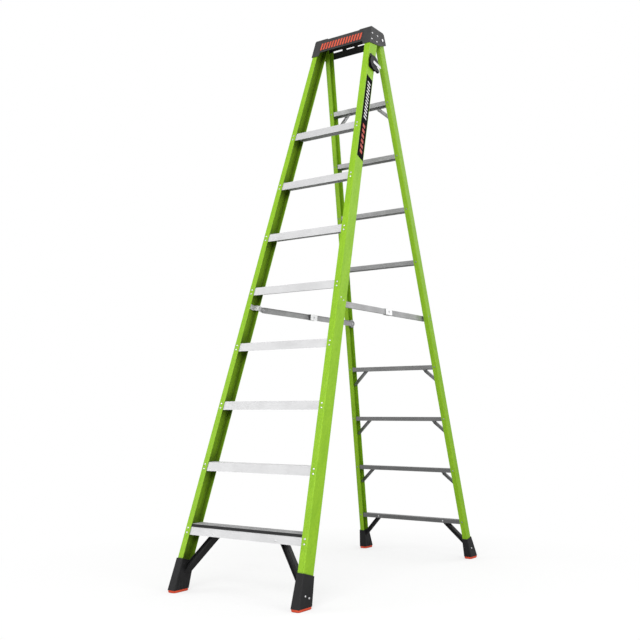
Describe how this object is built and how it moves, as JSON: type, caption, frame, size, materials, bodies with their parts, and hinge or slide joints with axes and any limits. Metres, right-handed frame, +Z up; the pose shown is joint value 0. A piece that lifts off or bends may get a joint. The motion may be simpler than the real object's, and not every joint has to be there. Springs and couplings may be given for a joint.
{
  "type": "folding stepladder",
  "caption": "Tall four-legged fibreglass stepladder with aluminium treads, rear cross bars, a moulded top cap and folding spreaders.",
  "frame": {"origin": "on the ground, at the centre of the open ladder's footprint", "axes": "+Z up, +Y from the treads towards the rear rails, +X to the climber's right"},
  "size_m": [0.788, 1.8244, 3.057],
  "materials": {
    "green_fibreglass": "pultruded fibreglass, satin, with faint fibre mottling",
    "tread_aluminium": "pressed aluminium, fine satin",
    "bar_aluminium": "mill-finish aluminium",
    "rivet_steel": "plain zinc",
    "spreader_steel": "galvanised pressed steel",
    "black_plastic": "moulded, lightly textured",
    "orange_rubber": "moulded rubber",
    "black_rubber": "ribbed rubber mat",
    "cap_plastic": "moulded, lightly textured",
    "nameplate_dark": "plain printed strip",
    "label_black": "plain printed panel",
    "white_plastic": "moulded plastic"
  },
  "bodies": {
    "front_section": {"bottom_tread_mat": "black_rubber", "cap_nameplate": "nameplate_dark", "cap_pivot_pins": "rivet_steel", "cap_pivot_washers": "rivet_steel", "cap_rivets": "rivet_steel", "front_boot_left": "black_plastic", "front_boot_right": "black_plastic", "front_bracket_rivets": "rivet_steel", "front_foot_rivets": "rivet_steel", "front_foot_strut_left": "black_plastic", "front_foot_strut_right": "black_plastic", "front_rail_left": "green_fibreglass", "front_rail_right": "green_fibreglass", "front_sole_left": "orange_rubber", "front_sole_right": "orange_rubber", "front_spreader_brackets": "spreader_steel", "hook_gates": "spreader_steel", "side_labels": "label_black", "spreader_front_pins": "rivet_steel", "top_cap": "cap_plastic", "tread_1": "tread_aluminium", "tread_2": "tread_aluminium", "tread_3": "tread_aluminium", "tread_4": "tread_aluminium", "tread_5": "tread_aluminium", "tread_6": "tread_aluminium", "tread_7": "tread_aluminium", "tread_8": "tread_aluminium", "tread_rivets": "rivet_steel", "utility_hook_left": "black_plastic", "utility_hook_right": "black_plastic"},
    "rear_section": {"rear_bar_1": "bar_aluminium", "rear_bar_2": "bar_aluminium", "rear_bar_3": "bar_aluminium", "rear_bar_4": "bar_aluminium", "rear_bar_5": "bar_aluminium", "rear_bar_6": "bar_aluminium", "rear_bar_7": "bar_aluminium", "rear_bar_8": "bar_aluminium", "rear_bar_rivets": "rivet_steel", "rear_boot_left": "black_plastic", "rear_boot_right": "black_plastic", "rear_bracket_rivets": "rivet_steel", "rear_foot_rivets": "rivet_steel", "rear_foot_strut_left": "black_plastic", "rear_foot_strut_right": "black_plastic", "rear_gussets": "bar_aluminium", "rear_rail_left": "green_fibreglass", "rear_rail_right": "green_fibreglass", "rear_sole_left": "orange_rubber", "rear_sole_right": "orange_rubber", "rear_spreader_brackets": "spreader_steel"},
    "spreader_front_left": {"spreader_front_bar_left": "spreader_steel", "spreader_hinge_guard_left": "white_plastic"},
    "spreader_front_right": {"spreader_front_bar_right": "spreader_steel", "spreader_hinge_guard_right": "white_plastic"},
    "spreader_rear_left": {"spreader_pins_left": "rivet_steel", "spreader_rear_bar_left": "spreader_steel"},
    "spreader_rear_right": {"spreader_pins_right": "rivet_steel", "spreader_rear_bar_right": "spreader_steel"}
  },
  "joints": [
    {"name": "rear_fold", "type": "hinge", "parent": "front_section", "child": "rear_section", "pos_m": [0, 0.16221, 3.006], "axis": [-1, 0, 0], "range_deg": [0, 27.5]},
    {"name": "spreader_front_left_pivot", "type": "hinge", "parent": "front_section", "child": "spreader_front_left", "pos_m": [-0.2595, -0.35277, 1.415], "axis": [0.9979, 0, -0.0652], "range_deg": [0, 72.66]},
    {"name": "spreader_middle_left_hinge", "type": "hinge", "parent": "spreader_front_left", "child": "spreader_rear_left", "pos_m": [-0.2595, 0.10373, 1.415], "axis": [0.9979, 0, -0.0652], "range_deg": [-166.54, 0]},
    {"name": "spreader_front_right_pivot", "type": "hinge", "parent": "front_section", "child": "spreader_front_right", "pos_m": [0.2595, -0.35277, 1.415], "axis": [0.9979, 0, 0.0652], "range_deg": [0, 72.66]},
    {"name": "spreader_middle_right_hinge", "type": "hinge", "parent": "spreader_front_right", "child": "spreader_rear_right", "pos_m": [0.2595, 0.10373, 1.415], "axis": [0.9979, 0, 0.0652], "range_deg": [-166.54, 0]}
  ],
  "couplings": [
    {"joint": "spreader_front_left_pivot", "follows": "rear_fold", "ratio": 2.6414},
    {"joint": "spreader_middle_left_hinge", "follows": "rear_fold", "ratio": -6.0552},
    {"joint": "spreader_front_right_pivot", "follows": "rear_fold", "ratio": 2.6414},
    {"joint": "spreader_middle_right_hinge", "follows": "rear_fold", "ratio": -6.0552}
  ]
}
